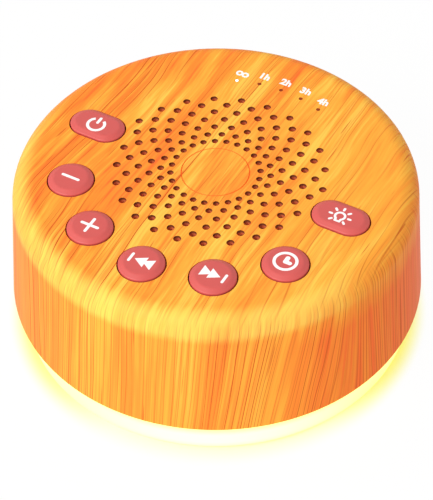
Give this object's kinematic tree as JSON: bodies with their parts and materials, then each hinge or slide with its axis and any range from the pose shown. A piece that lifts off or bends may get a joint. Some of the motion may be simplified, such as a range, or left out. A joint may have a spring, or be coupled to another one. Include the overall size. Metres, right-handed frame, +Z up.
{
  "type": "white noise sound machine",
  "caption": "Round tabletop sound machine with a printed wood-look housing, a drilled speaker grille, soft push buttons, timer lights and a lit base ring.",
  "frame": {"origin": "on the table under the centre of the machine", "axes": "+Z up, -Y towards the user at the arc of round buttons, +X to the user's right at the light button"},
  "size_m": [0.1, 0.1, 0.0454],
  "materials": {
    "wood_print": "satin, printed with a straight orange-brown wood grain",
    "diffuser": "translucent warm white, lit from inside",
    "white_plastic": "fine texture",
    "button_plastic": "soft-touch coral red",
    "screw_steel": "zinc plated",
    "rubber": "matte",
    "black_cloth": "fine acoustic mesh",
    "black_foam": "closed-cell foam",
    "frame_steel": "black stamped steel",
    "zinc_steel": "yellow-tinged zinc plating",
    "ferrite": "sintered, dark grey",
    "copper": "enamelled winding on a paper former",
    "cone_paper": "pressed black paper",
    "spider_cloth": "resin-stiffened weave",
    "circuit_board": "green solder mask",
    "white_board": "white solder mask",
    "black_plastic": "moulded",
    "led_white": "white package, lit",
    "led_warm": "warm phosphor package, lit",
    "clear_plastic": "clear moulded light guide",
    "capacitor_can": "printed sleeve",
    "socket_steel": "stamped nickel-plated shell",
    "wire_cover": "flexible insulation",
    "cable_cover": "flat grey ribbon"
  },
  "bodies": {
    "casing": {"top_housing": "wood_print", "light_diffuser": "diffuser", "base_plate": "white_plastic", "housing_screws": "screw_steel", "foot_right": "rubber", "foot_back": "rubber", "foot_left": "rubber", "foot_front": "rubber", "grille_cloth": "black_cloth", "speaker_gasket": "black_foam", "speaker_frame": "frame_steel", "speaker_pole_plate": "zinc_steel", "speaker_magnet": "ferrite", "speaker_yoke": "zinc_steel", "speaker_surround": "rubber", "speaker_spider": "spider_cloth", "speaker_terminals": "circuit_board", "speaker_washers": "screw_steel", "speaker_screws": "screw_steel", "key_board": "circuit_board", "main_board": "circuit_board", "light_board": "white_board", "push_switches": "black_plastic", "timer_leds": "led_white", "timer_light_guide": "clear_plastic", "sound_chip": "black_plastic", "amplifier_chip": "black_plastic", "capacitor": "capacitor_can", "power_socket": "socket_steel", "socket_tongue": "black_plastic", "night_leds": "led_warm", "key_board_screws": "screw_steel", "main_board_screws": "screw_steel", "light_board_screws": "screw_steel", "speaker_wires": "wire_cover", "light_wires": "wire_cover", "key_cable": "cable_cover"},
    "volume_down_key": {"volume_down_button": "button_plastic", "volume_down_plunger": "black_plastic"},
    "volume_up_key": {"volume_up_button": "button_plastic", "volume_up_plunger": "black_plastic"},
    "previous_key": {"previous_button": "button_plastic", "previous_plunger": "black_plastic"},
    "next_key": {"next_button": "button_plastic", "next_plunger": "black_plastic"},
    "timer_key": {"timer_button": "button_plastic", "timer_plunger": "black_plastic"},
    "power_key": {"power_button": "button_plastic", "power_plunger": "black_plastic"},
    "light_key": {"light_button": "button_plastic", "light_plunger": "black_plastic"},
    "cone_assembly": {"speaker_cone": "cone_paper", "dust_cap": "cone_paper", "voice_coil": "copper"}
  },
  "joints": [
    {"name": "volume_down_press", "type": "slide", "parent": "casing", "child": "volume_down_key", "axis": [0, 0, -1], "range_m": [0, 0.0004], "stiffness_N_per_m": 300, "springref_m": -0.001},
    {"name": "volume_up_press", "type": "slide", "parent": "casing", "child": "volume_up_key", "axis": [0, 0, -1], "range_m": [0, 0.0004], "stiffness_N_per_m": 300, "springref_m": -0.001},
    {"name": "previous_press", "type": "slide", "parent": "casing", "child": "previous_key", "axis": [0, 0, -1], "range_m": [0, 0.0004], "stiffness_N_per_m": 300, "springref_m": -0.001},
    {"name": "next_press", "type": "slide", "parent": "casing", "child": "next_key", "axis": [0, 0, -1], "range_m": [0, 0.0004], "stiffness_N_per_m": 300, "springref_m": -0.001},
    {"name": "timer_press", "type": "slide", "parent": "casing", "child": "timer_key", "axis": [0, 0, -1], "range_m": [0, 0.0004], "stiffness_N_per_m": 300, "springref_m": -0.001},
    {"name": "power_press", "type": "slide", "parent": "casing", "child": "power_key", "axis": [0, 0, -1], "range_m": [0, 0.0004], "stiffness_N_per_m": 300, "springref_m": -0.001},
    {"name": "light_press", "type": "slide", "parent": "casing", "child": "light_key", "axis": [0, 0, -1], "range_m": [0, 0.0004], "stiffness_N_per_m": 300, "springref_m": -0.001},
    {"name": "cone_stroke", "type": "slide", "parent": "casing", "child": "cone_assembly", "axis": [0, 0, 1], "range_m": [-0.0008, 0.0008], "stiffness_N_per_m": 1500, "deforming": ["speaker_surround", "speaker_spider"]}
  ]
}
